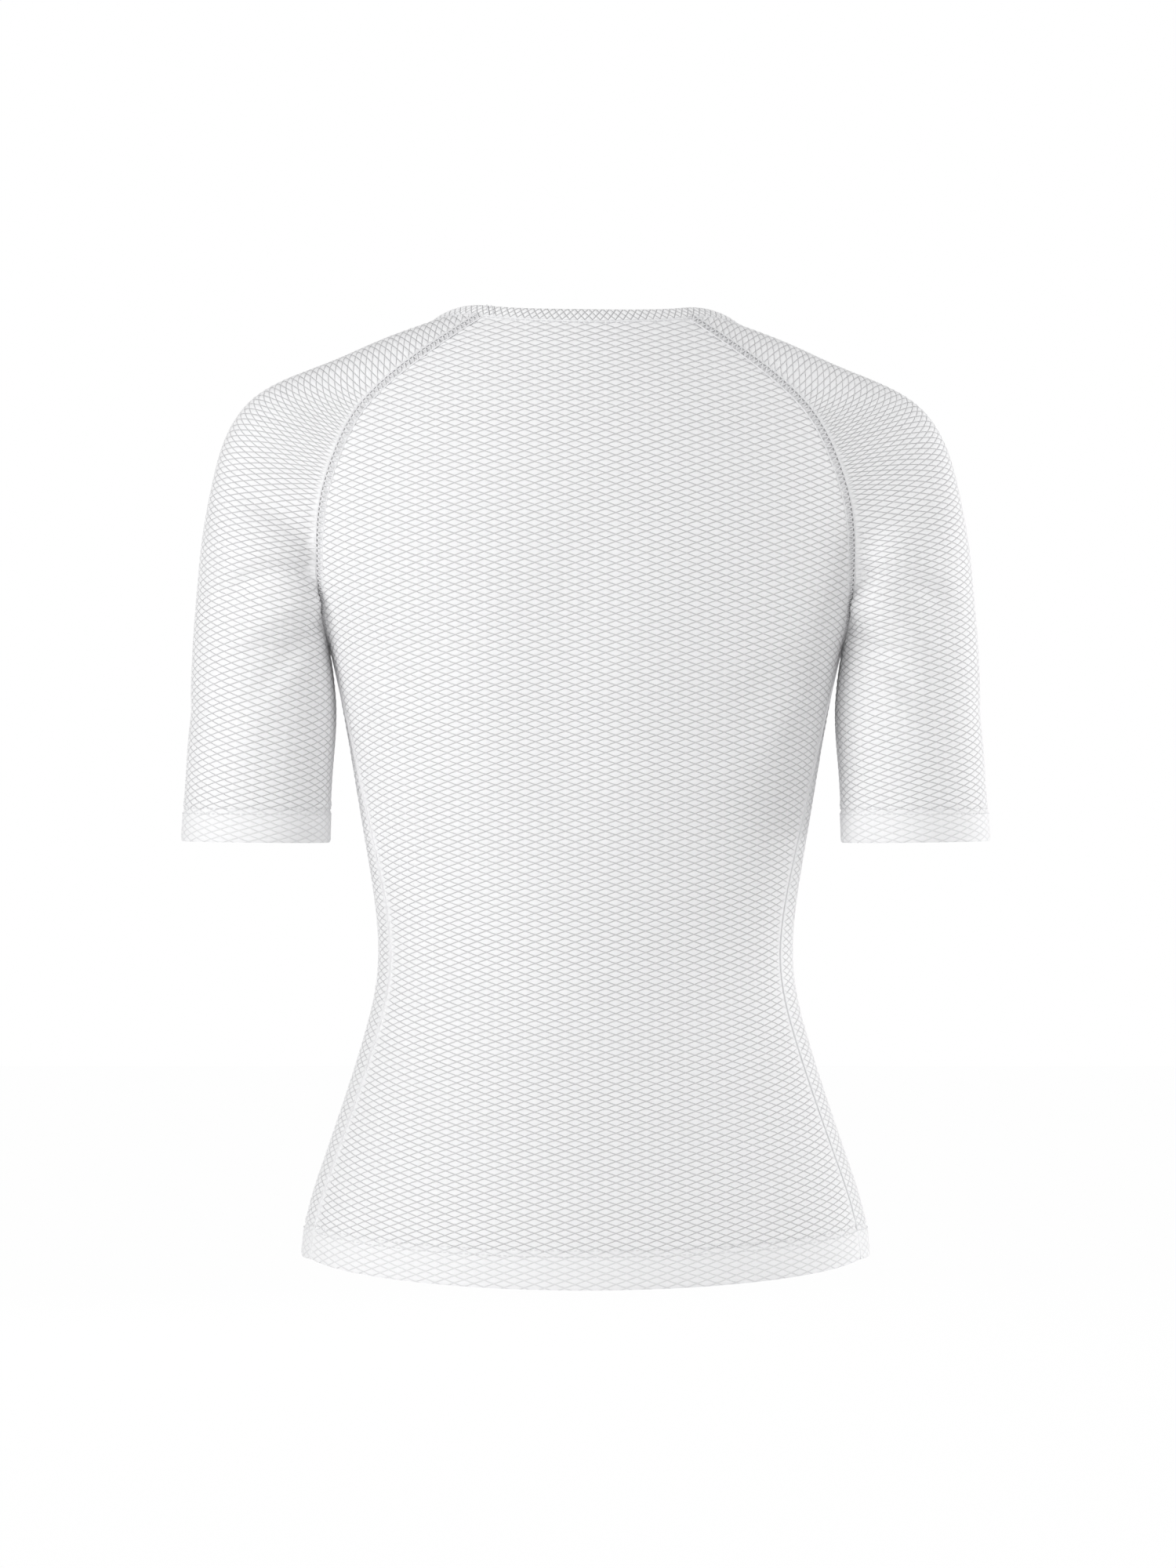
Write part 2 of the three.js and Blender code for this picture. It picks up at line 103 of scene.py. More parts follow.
# The raglan seams: height, and distance from the centre line.
RAGLAN = {
    "back": np.array([
        (-12, 62), (-37, 98.7), (-63, 128), (-91, 144),
        (-119, 152.7), (-152, 155.3), (-185, 153.3), (-203, 150),
    ]),
    "front": np.array([
        (-41, 82), (-60, 100), (-82, 117.5), (-107, 132),
        (-134, 143), (-160, 149.5), (-185, 152), (-203, 150),
    ]),
}

# Sleeve sections down to the underarm: the outermost line's x, y and z, the height at the back and the
# front seam, the section's reach from the seam and from the outermost line, and its wrap under the arm.
SLEEVE_TOP = np.array([
    (93, 5, -17, -12, -41, 0.34, 0.36, 0),
    (122, 3, -27, -25, -54, 0.34, 0.4, 0),
    (149, 1, -39, -39.5, -69, 0.34, 0.43, 0),
    (174.5, -0.5, -49, -55, -84, 0.34, 0.46, 0.02),
    (196.3, -2, -61.8, -74, -100, 0.34, 0.49, 0.08),
    (210.4, -3, -82, -98, -119, 0.34, 0.51, 0.2),
    (219.2, -4, -112, -125, -139, 0.36, 0.54, 0.38),
    (225, -4.5, -143, -152, -160, 0.42, 0.57, 0.58),
    (228.2, -5, -172, -176, -180, 0.52, 0.61, 0.78),
    (230, -5, -193, -193, -194.5, 0.63, 0.65, 0.93),
    (230.9, -5, -207, -203, -203, 0.69, 0.68, 1),
])
# Below the underarm: the outermost line, both reaches, and the inner line's x, y and z.
SLEEVE_END = np.array([
    (232.3, -5.5, -237, 0.7, 0.69, 146.6, -2, -236),
    (234.8, -6.5, -277, 0.7, 0.7, 148.8, -4, -277),
    (237.4, -7.5, -316.5, 0.7, 0.7, 150.6, -6, -317.5),
])

# ---- Knit -------------------------------------------------------------------------------------------------

CELL_WIDE = 11.6      # one lens cell of the mesh, across
CELL_HIGH = 4.12      # and up
CELL_PROUD = 0.72     # how far a cell's middle stands out of its grooves
CELL_LEVEL = 0.6      # the share of a cell's height that lies level with the cloth
HEM_FLATTER = 0.45    # how much flatter the cells are where the knit is turned up
ROW_STEP = CELL_HIGH / 4
INNER_SKIP = 6        # rows and columns of the outer skin for each one of the inner skin

# ---- Neckband and stitching -------------------------------------------------------------------------------

BAND_CELL_WIDE = 4.4  # the neckband's closer knit, in puffs that stand proud
BAND_CELL_HIGH = 4.6
BAND_CELL_STEPS = 8   # columns of the mesh for each puff
BAND_PUFF = 0.62
BAND_PUFF_LEVEL = 0.55
BAND_HIGH = 7.0
BAND_MIDDLE = -0.55   # from the cloth's outer face to the middle of the folded band
BAND_LEAF = 0.7       # one layer of the folded band
BAND_HALF = 1.22      # half the folded band's thickness, and what its ends lose of it
BAND_ROUNDED = 0.24
BAND_TURNINGS = 1.5   # what the cut has for its fold
BAND_JOIN_X = 57      # from the middle of the back
BAND_JOIN_SLANT = 1.6  # puffs
RAGLAN_SEAM = 5.4     # across the flat seam
RAIL_PROUD = 0.55     # from the cloth to the middle of its outer threads
RAIL_OUTSIDE = 0.6    # how far the outer rail lies past the panel's edge
RUNG_STEP = 1.5
STITCH_GAP = 0.9


def spline(xs, ys):
    """The natural cubic spline through the points, as a function of arrays."""
    order = np.argsort(xs)
    x, y = np.asarray(xs, float)[order], np.asarray(ys, float)[order]
    gap = np.diff(x)
    size = len(x)
    matrix = np.eye(size)
    bend = np.zeros(size)
    for i in range(1, size - 1):
        matrix[i, i - 1:i + 2] = gap[i - 1], 2 * (gap[i - 1] + gap[i]), gap[i]
        bend[i] = 6 * ((y[i + 1] - y[i]) / gap[i] - (y[i] - y[i - 1]) / gap[i - 1])
    bend = np.linalg.solve(matrix, bend)

    def at(value):
        value = np.asarray(value, float)
        i = np.clip(np.searchsorted(x, value) - 1, 0, size - 2)
        wide = gap[i]
        a = (x[i + 1] - value) / wide
        b = 1 - a
        return a * y[i] + b * y[i + 1] + ((a**3 - a) * bend[i] + (b**3 - b) * bend[i + 1]) * wide**2 / 6

    return at


def bezier(p0, p1, p2, p3, t):
    s = 1 - t
    return s**3 * p0 + 3 * s * s * t * p1 + 3 * s * t * t * p2 + t**3 * p3


def smooth_ramp(value, low, high):
    t = np.clip((value - low) / (high - low), 0, 1)
    return t * t * (3 - 2 * t)


def unit(vectors):
    return vectors / np.maximum(np.linalg.norm(vectors, axis=-1, keepdims=True), 1e-9)


def run_lengths(path):
    """How far along the path each of its points lies."""
    return np.concatenate([[0], np.cumsum(np.linalg.norm(np.diff(path, axis=0), axis=1))])


def values_at(target, lengths, values):
    """The three values that belong to each target length."""
    return np.stack([np.interp(target, lengths, values[:, i]) for i in range(3)], -1)


torso = {key: spline(TORSO[:, 0], TORSO[:, i + 1]) for i, key in enumerate(TORSO_COLUMNS)}
side_share = spline(SIDE_SEAM[:, 0], SIDE_SEAM[:, 1])
raglan_x = {which: spline(table[:, 0], table[:, 1]) for which, table in RAGLAN.items()}


def torso_point(way, z):
    """way runs from 0 at the centre back, through 1 at the widest line, to 2 at the centre front."""
    way, z = np.broadcast_arrays(np.asarray(way, float), np.asarray(z, float))
    on_back = way <= 1
    share = np.where(on_back, way, 2 - way)
    half, side = torso["half"](z), torso["side"](z)
    full = np.where(on_back, torso["full_back"](z), torso["full_front"](z))
    centre = np.where(on_back, torso["back"](z), torso["front"](z))
    x = bezier(0, full * half, half, half, share)
    y = bezier(centre, centre, side + full * (centre - side), side, share)
    return np.stack([x, y, z], -1)


def edge_way(z, which):
    """The way of a panel's edge: the side seam, or the raglan seam above the underarm."""
    z = np.asarray(z, float)
    low, high = np.zeros(z.shape), np.ones(z.shape)
    target = raglan_x[which](z)
    for _ in range(40):
        middle = (low + high) / 2
        under = torso_point(middle, z)[..., 0] < target
        low, high = np.where(under, middle, low), np.where(under, high, middle)
    on_raglan = high if which == "back" else 2 - high
    return np.where(z <= UNDERARM_Z, side_share(z), on_raglan)


def torso_normal(way, z):
    step = 0.002
    around = torso_point(np.minimum(way + step, 2), z) - torso_point(np.maximum(way - step, 0), z)
    up = torso_point(way, z + 0.5) - torso_point(way, z - 0.5)
    return unit(np.cross(up, around))


class Panel:
    """The half section of a torso panel, by share of its length from the centre to the edge."""

    HEIGHTS = np.arange(12.0, -578.0, -1.0)
    SHARES = np.linspace(0, 1, 161)

    def __init__(self, which):
        start = 0.0 if which == "back" else 2.0
        ends = edge_way(self.HEIGHTS, which)
        ways = start + (ends - start)[:, None] * self.SHARES[None, :]
        points = torso_point(ways, self.HEIGHTS[:, None])[..., :2]
        lengths = np.cumsum(np.linalg.norm(np.diff(points, axis=1), axis=-1), axis=1)
        lengths = np.concatenate([np.zeros((len(lengths), 1)), lengths], 1)
        self.length = lengths[:, -1]
        self.points = np.empty_like(points)
        for i, row in enumerate(lengths):
            target = self.SHARES * (row[-1] - SEAM_GAP / 2)
            for axis in (0, 1):
                self.points[i, :, axis] = np.interp(target, row, points[i, :, axis])
        centre = torso_point(np.full(self.HEIGHTS.shape, start), self.HEIGHTS)
        steps = np.linalg.norm(np.diff(centre, axis=0), axis=-1)
        self.down = np.concatenate([[0], np.cumsum(steps)])

    def at(self, share, height):
        row = np.clip(self.HEIGHTS[0] - height, 0, len(self.HEIGHTS) - 1.001)
        column = np.clip(share * (len(self.SHARES) - 1), 0, len(self.SHARES) - 1.001)
        i, j = row.astype(int), column.astype(int)
        a, b = (row - i)[..., None], (column - j)[..., None]
        p = self.points
        upper = p[i, j] * (1 - b) + p[i, j + 1] * b
        lower = p[i + 1, j] * (1 - b) + p[i + 1, j + 1] * b
        return upper * (1 - a) + lower * a

    def length_at(self, height):
        return np.interp(-height, -self.HEIGHTS, self.length)

    def down_at(self, height):
        return np.interp(-height, -self.HEIGHTS, self.down)


def leaning(points):
    """The worn shoulders tip up a little on the wearer's left."""
    ramp = smooth_ramp(points[..., 2], LEAN_FROM, LEAN_TO)
    lifted = points[..., 2] + LEAN_SLOPE * points[..., 0] * ramp
    return np.concatenate([points[..., :2], lifted[..., None]], -1)


def grid_normals(points, outward):
    """Normals of a grid of points, evened out over their neighbours, facing the way outward does."""
    down = np.gradient(points, axis=0)
    across = np.gradient(points, axis=1)
    normals = unit(np.cross(down, across))
    for _ in range(3):
        padded = np.pad(normals, ((1, 1), (1, 1), (0, 0)), mode="edge")
        normals = unit(padded[:-2, 1:-1] + padded[2:, 1:-1] + padded[1:-1, :-2] + padded[1:-1, 2:] + normals)
    if np.sum(normals * outward) < 0:
        normals = -normals
    return normals


def cell_relief(u, v):
    """A lens cell's height, from 0 in the grooves to 1 in its middle."""
    rising, falling = np.abs(np.sin(np.pi * (u + v))), np.abs(np.sin(np.pi * (u - v)))
    return (0.65 * np.minimum(rising, falling) + 0.35 * rising * falling) ** 0.6


# ---- Meshes -----------------------------------------------------------------------------------------------


def new_piece(name, points, faces, cloth, material, nodes, smooth=35):
    """A mesh object from points in millimetres, with the cloth's own coordinates on every point."""
    points = np.asarray(points, float)
    mesh = bpy.data.meshes.new(name)
    mesh.from_pydata((leaning(points) * MM).tolist(), [], faces)
    layer = mesh.attributes.new("cloth", "FLOAT_VECTOR", "POINT")
    layer.data.foreach_set("vector", np.asarray(cloth, np.float32).ravel())
    mesh.materials.append(material)
    mesh.polygons.foreach_set("use_smooth", [True] * len(mesh.polygons))
    mesh.set_sharp_from_angle(angle=math.radians(smooth))
    mesh.update()
    piece = bpy.data.objects.new(name, mesh)
    bpy.context.scene.collection.objects.link(piece)
    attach(piece, "root")
    if nodes:
        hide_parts(*nodes)
    return piece


def shell(outer, inner_all, cloth, skip):
    """A closed shell: a fine outer skin, a plainer inner skin, and a rim that joins their edges."""
    rows, columns = outer.shape[:2]
    keep_rows, keep_columns = np.arange(0, rows, skip), np.arange(0, columns, skip)
    inner = inner_all[np.ix_(keep_rows, keep_columns)]
    inner_cloth = cloth[np.ix_(keep_rows, keep_columns)].copy()
    few_rows, few_columns = inner.shape[:2]
    base = rows * columns
    index = np.arange(base).reshape(rows, columns)
    under = base + np.arange(few_rows * few_columns).reshape(few_rows, few_columns)
    quads = np.stack([index[:-1, :-1], index[:-1, 1:], index[1:, 1:], index[1:, :-1]], -1).reshape(-1, 4)
    backs = np.stack([under[:-1, :-1], under[1:, :-1], under[1:, 1:], under[:-1, 1:]], -1).reshape(-1, 4)
    faces = quads.tolist() + backs.tolist()

    def rim(fine, coarse, turned):
        for j in range(len(coarse) - 1):
            run = fine[j * skip:(j + 1) * skip + 1]
            for a, b in zip(run[:-1], run[1:]):
                faces.append((a, coarse[j], b) if turned else (a, b, coarse[j]))
            last = (run[-1], coarse[j], coarse[j + 1]) if turned else (run[-1], coarse[j + 1], coarse[j])
            faces.append(last)

    rim(index[0].tolist(), under[0].tolist(), True)
    rim(index[-1].tolist(), under[-1].tolist(), False)
    rim(index[:, 0].tolist(), under[:, 0].tolist(), False)
    rim(index[:, -1].tolist(), under[:, -1].tolist(), True)
    points = np.concatenate([outer.reshape(-1, 3), inner.reshape(-1, 3)])
    flat = np.concatenate([cloth.reshape(-1, 3), inner_cloth.reshape(-1, 3)])
    return points, faces, flat


def facing_out(points, faces):
    """The same faces, turned over if the closed mesh they make is inside out."""
    tri = np.array([(f[0], f[i], f[i + 1]) for f in faces for i in range(1, len(f) - 1)])
    a, b, c = points[tri[:, 0]], points[tri[:, 1]], points[tri[:, 2]]
    volume = np.sum(a * np.cross(b, c)) / 6
    return faces if volume > 0 else [tuple(reversed(f)) for f in faces]


def tube(path, radius, sides=5):
    """A thread of round section along a path."""
    path = np.asarray(path, float)
    count = len(path)
    along = unit(np.gradient(path, axis=0))
    helper = np.where(np.abs(along[:, 2:]) > 0.8, np.array([[0.0, 1.0, 0.0]]), np.array([[0.0, 0.0, 1.0]]))
    side = unit(np.cross(along, helper))
    other = np.cross(along, side)
    angles = np.linspace(0, 2 * math.pi, sides, endpoint=False)
    ring = side[:, None] * np.cos(angles)[None, :, None] + other[:, None] * np.sin(angles)[None, :, None]
    points = (path[:, None] + radius * ring).reshape(-1, 3)
    faces = []
    for i in range(count - 1):
        for k in range(sides):
            a, b = i * sides + k, i * sides + (k + 1) % sides
            faces.append((a, b, b + sides, a + sides))
    faces.append(tuple(range(sides))[::-1])
    faces.append(tuple(range((count - 1) * sides, count * sides)))
    return points, faces


def joined(parts):
    """Several closed meshes as one."""
    points, faces, start = [], [], 0
    for part_points, part_faces in parts:
        part_faces = facing_out(part_points, part_faces)
        points.append(part_points)
        faces.extend(tuple(start + i for i in face) for face in part_faces)
        start += len(part_points)
    return np.concatenate(points), faces


# ---- Torso panels ----------------------------------------------------------------------------------------


def hem_profile(from_hem):
    """How far the outer skin stands out by the turned-up hem, with the tuck of its stitch line."""
    turned = 0.55 * (1 - smooth_ramp(from_hem, HEM_DEPTH - 1.2, HEM_DEPTH + 0.8))
    tuck = -0.7 * np.exp(-((from_hem - HEM_DEPTH + 0.6) / 1.1) ** 2)
    ridge = 0.45 * np.exp(-((from_hem - HEM_DEPTH - 2.6) / 1.6) ** 2)
    rounded = -0.8 * (1 - smooth_ramp(from_hem, 0, 1.6))
    return turned + tuck + ridge + rounded


# Soft folds: where each starts and ends in the cloth's own millimetres (across, down), its half width and
# its depth, a trough where positive and a ridge where negative.
BACK_FOLDS = [
    ((0, 140), (4, 330), 34, 2.4),
    ((-128, 200), (-88, 236), 9, 1.8),
    ((-132, 222), (-100, 266), 8, -1.3),
    ((-126, 246), (-104, 300), 8, 1.0),
    ((126, 200), (92, 232), 8, 1.6),
    ((128, 220), (100, 256), 8, -1.1),
    ((-90, 372), (-40, 384), 12, 0.7),
    ((84, 380), (36, 388), 10, 0.6),
    ((-60, 398), (20, 404), 13, -0.5),
]
FRONT_FOLDS = [
    ((-122, 170), (-84, 196), 9, 1.0),
    ((120, 172), (80, 204), 8, 1.0),
    ((-80, 322), (-24, 334), 12, 0.7),
    ((88, 330), (30, 338), 11, 0.6),
    ((-30, 230), (36, 236), 20, 0.8),
]
SLEEVE_FOLDS = [
    ((-110, 212), (-40, 240), 7.5, 4.6),
    ((-112, 232), (-50, 268), 8, -2.6),
    ((-114, 250), (-66, 300), 7, 2.4),
    ((-102, 196), (-46, 172), 8, 1.9),
    ((-96, 268), (-60, 330), 8, -1.2),
    ((108, 210), (44, 236), 7.5, 3.8),
    ((106, 232), (56, 272), 8, -2.3),
    ((104, 254), (70, 304), 7, 1.7),
    ((100, 192), (50, 168), 8, 1.6),
    ((-26, 300), (22, 308), 10, 0.8),
]


def folds(across, down, rows):
    """The depth of all the soft folds at each point of the cloth."""
    depth = np.zeros(across.shape)
    for (x0, y0), (x1, y1), half, deep in rows:
        dx, dy = x1 - x0, y1 - y0
        length = math.hypot(dx, dy)
        t = ((across - x0) * dx + (down - y0) * dy) / length**2
        off = ((across - x0) * dy - (down - y0) * dx) / length
        bow = off - 0.08 * length * (1 - (2 * t - 1) ** 2)
        taper = np.exp(-np.maximum(0, np.abs(t - 0.42) - 0.28) ** 2 / 0.045)
        depth += deep * np.exp(-((bow / half) ** 2)) * taper
    return depth


def torso_panel(which, columns, material):
    """The back or the front: its mesh, and what the trim on it needs to know."""
    panel = Panel(which)
    top, dip_top = NECK_EDGE[which]
    steps = len(np.arange(HEM_SIDE_Z, top + ROW_STEP / 2, ROW_STEP)) - 1
    edge = np.linspace(top, HEM_SIDE_Z, steps // INNER_SKIP * INNER_SKIP + 1)
    across = np.linspace(-1, 1, columns + 1)
    z, a = np.meshgrid(edge, across, indexing="ij")
    near_hem = np.maximum(0, 1 - (z - HEM_SIDE_Z) / 160)
    near_neck = np.maximum(0, 1 - (top - z) / (1.6 * dip_top + 20))
    dip = HEM_DIP[which] * near_hem**2 + dip_top * near_neck**1.5
    height = z - dip * (1 - a**2) * (1 - NECK_FLAT[which] * a**2)
    flat = panel.at(np.abs(a), height)
    points = np.stack([flat[..., 0] * np.sign(a), flat[..., 1], height], -1)
    outward = np.stack([points[..., 0], points[..., 1], 0 * a], -1)
    normals = grid_normals(points, outward)
    length = panel.length_at(height)
    s = a * length
    down = panel.down_at(height)
    u, v = s / CELL_WIDE, down / CELL_HIGH
    from_hem = z - HEM_SIDE_Z
    from_edge = (1 - np.abs(a)) * length
    from_neck = top - z
    pressed = np.minimum(smooth_ramp(from_edge, 0.8, 4.5), smooth_ramp(from_neck, 0.5, 3))
    soft = 1 - HEM_FLATTER * (1 - smooth_ramp(from_hem, HEM_DEPTH - 2, HEM_DEPTH + 1))
    relief = CELL_PROUD * (cell_relief(u, v) - CELL_LEVEL) * pressed * soft
    from_back_neck = down - panel.down_at(np.array(NECK_EDGE["back"][0]))
    fold = folds(s, from_back_neck, BACK_FOLDS if which == "back" else FRONT_FOLDS)
    lift = relief + hem_profile(from_hem) - fold * pressed
    inner_drop = WALL + (HEM_WALL - WALL) * (1 - smooth_ramp(from_hem, HEM_DEPTH - 1, HEM_DEPTH + 1))
    outer = points + normals * lift[..., None]
    inner = points - normals * (inner_drop + fold * pressed)[..., None]
    # The third value is how far the cells stand proud; the knit's shader also lessens the painted groove
    # shade by it.
    cloth = np.stack([u, v, pressed * soft], -1)
    mesh_points, faces, flat_cloth = shell(outer, inner, cloth, INNER_SKIP)
    faces = facing_out(mesh_points, faces)
    name = which + "_panel_cloth"
    piece = new_piece(name, mesh_points, faces, flat_cloth, material, [which + "_panel"])
    width, tall = 2 * s[:, -1].max(), np.ptp(panel.down_at(height))
    area = np.sum(np.abs(np.diff(down, axis=0))[:, :-1] * np.diff(s, axis=1)[:-1])
    return {
        "piece": piece, "points": points, "normals": normals, "lift": lift,
        "size": (width, tall), "area": area,
    }


# ---- Sleeves ---------------------------------------------------------------------------------------------

ridge_rows = np.concatenate([SLEEVE_TOP[:, :3], SLEEVE_END[:, :3]])
stations = run_lengths(ridge_rows)
underarm_row = len(SLEEVE_TOP) - 1
underarm = stations[underarm_row]
sleeve_length = stations[-1]
ridge = [spline(stations, ridge_rows[:, i]) for i in range(3)]
seam_reach = spline(stations, np.concatenate([SLEEVE_TOP[:, 5], SLEEVE_END[:, 3]]))
ridge_reach = spline(stations, np.concatenate([SLEEVE_TOP[:, 6], SLEEVE_END[:, 4]]))
wrap_round = spline(stations, np.concatenate([SLEEVE_TOP[:, 7], np.ones(len(SLEEVE_END))]))
seam_height = {
    "back": spline(stations[: underarm_row + 1], SLEEVE_TOP[:, 3]),
    "front": spline(stations[: underarm_row + 1], SLEEVE_TOP[:, 4]),
}
inner_start = (float(torso["half"](UNDERARM_Z)) + UNDER_GAP, 0.0, UNDERARM_Z)
inner_rows = np.concatenate([[inner_start], SLEEVE_END[:, 5:8]])
inner_line = [spline(stations[underarm_row:], inner_rows[:, i]) for i in range(3)]


def seam_end(along, which, ridge_points):
    """Where each sleeve section leaves its seam, and in which direction."""
    under = np.array([0.0, 1.0 if which == "back" else -1.0, 0.0])
    z = np.maximum(seam_height[which](np.minimum(along, underarm)), UNDERARM_Z)
    way = edge_way(z + 1e-6, which)
    point = torso_point(way, z)
    outwards = ridge_points - point
    normal = torso_normal(way, z)
    on_torso = unit(outwards - normal * np.sum(outwards * normal, -1, keepdims=True))
    wrap = np.clip(wrap_round(along), 0, 1)[:, None]
    direction = unit(on_torso * (1 - wrap) + under * wrap)
    point = point + unit(outwards) * SEAM_GAP + normal * UNDER_GAP * wrap + under * SEAM_GAP / 2
    tube_point = np.stack([line(np.maximum(along, underarm)) for line in inner_line], -1)
    tube_point = tube_point + under * SEAM_GAP / 2
    below = (along >= underarm)[:, None]
    return np.where(below, tube_point, point), np.where(below, under, direction)


def sleeve_points(around, along):
    """Points of the wearer's left sleeve, by rows along it and columns around it."""
    crest = np.stack([axis(along) for axis in ridge], -1)
    ends = {which: seam_end(along, which, crest) for which in ("back", "front")}
    across = unit(ends["back"][0] - ends["front"][0] + np.array([0.0, 60.0, 0.0]))
    halves = []
    for which, sign in (("back", 1), ("front", -1)):
        point, direction = ends[which]
        chord = np.linalg.norm(crest - point, axis=-1, keepdims=True)
        near_seam = point + direction * seam_reach(along)[:, None] * chord
        near_crest = crest + across * sign * ridge_reach(along)[:, None] * chord
        columns = around[around < 0] if which == "back" else around[around >= 0]
        t = (1 - np.abs(columns))[None, :, None]
        halves.append(bezier(point[:, None], near_seam[:, None], near_crest[:, None], crest[:, None], t))
    return np.concatenate(halves, 1), crest


def sleeve(side, columns, material):
    """One sleeve: made as the wearer's left one, and turned over for the right."""
    rows = int(round(sleeve_length / ROW_STEP / INNER_SKIP)) * INNER_SKIP
    along = np.linspace(0, sleeve_length, rows + 1)
    around = np.linspace(-1, 1, columns + 1)
    points, crest = sleeve_points(around, along)
    # The underarm corner of the cut, evened out as cloth is.
    for _ in range(14):
        points[1:-1, 1:-1] = (
            points[1:-1, 1:-1] * 0.5
            + (points[:-2, 1:-1] + points[2:, 1:-1]) * 0.25
        )
    tangent = unit(np.gradient(crest, axis=0))
    run = np.sum((points - crest[:, None]) * tangent[:, None], -1)
    steps = np.diff(points, axis=1)
    lengthwise = np.sum(steps * tangent[:, None], -1, keepdims=True) * tangent[:, None]
    widths = np.linalg.norm(steps - 0.92 * lengthwise, axis=-1)
    s = np.concatenate([np.zeros((rows + 1, 1)), np.cumsum(widths, 1)], 1)
    s -= s[:, columns // 2][:, None]
    t = along[:, None] + run
    for _ in range(30):
        t[1:-1] = t[1:-1] * 0.5 + (t[:-2] + t[2:]) * 0.25
    outward = points - np.mean(points, axis=1, keepdims=True)
    normals = grid_normals(points, outward)
    full = np.linalg.norm(steps, axis=-1)
    full = np.concatenate([np.zeros((rows + 1, 1)), np.cumsum(full, 1)], 1)
    from_edge = np.minimum(full, full[:, -1:] - full)
    from_neck = np.broadcast_to(along[:, None], s.shape)
    from_hem = np.broadcast_to((sleeve_length - along)[:, None], s.shape)
    raglan_edge = np.broadcast_to((along < underarm + 4)[:, None], s.shape)
    pressed_edge = np.where(raglan_edge, smooth_ramp(from_edge, 0.8, 4.5), smooth_ramp(from_edge, 0.2, 1.5))
    pressed = np.minimum(pressed_edge, smooth_ramp(from_neck, 0.5, 3))
    soft = 1 - HEM_FLATTER * (1 - smooth_ramp(from_hem, HEM_DEPTH - 2, HEM_DEPTH + 1))
    u, v = s / CELL_WIDE, t / CELL_HIGH
    relief = CELL_PROUD * (cell_relief(u, v) - CELL_LEVEL) * pressed * soft
    fold = folds(s, np.broadcast_to(along[:, None], s.shape), SLEEVE_FOLDS)
    lift = relief + hem_profile(from_hem) - fold * pressed
    inner_drop = WALL + (HEM_WALL - WALL) * (1 - smooth_ramp(from_hem, HEM_DEPTH - 1, HEM_DEPTH + 1))
    outer = points + normals * lift[..., None]
    inner = points - normals * (inner_drop + fold * pressed)[..., None]
    # The third value is how far the cells stand proud; the knit's shader also lessens the painted groove
    # shade by it.
    cloth = np.stack([u, v, pressed * soft], -1)
    mesh_points, faces, flat_cloth = shell(outer, inner, cloth, INNER_SKIP)
    flip = np.array([1.0 if side == "left" else -1.0, 1.0, 1.0])
    mesh_points = mesh_points * flip
    faces = facing_out(mesh_points, faces)
    name = side + "_sleeve_cloth"
    piece = new_piece(name, mesh_points, faces, flat_cloth, material, [side + "_sleeve"])
    area = np.sum(np.abs(np.diff(along))[:, None] * full[1:, -1:])
    width = full[:, -1].max()
    return {
        "piece": piece, "points": points * flip, "normals": normals * flip, "lift": lift,
        "size": (width, sleeve_length * 1.06), "area": area * 0.9,
    }


# ---- Materials -------------------------------------------------------------------------------------------


def math_node(tree, operation, a, b=None, clamp=False):
    node = tree.nodes.new("ShaderNodeMath")
    node.operation = operation
    node.use_clamp = clamp
    for socket, value in zip(node.inputs, (a, b)):
        if value is None:
            continue
        if isinstance(value, (int, float)):
            socket.default_value = value
        else:
            tree.links.new(value, socket)
    return node.outputs[0]


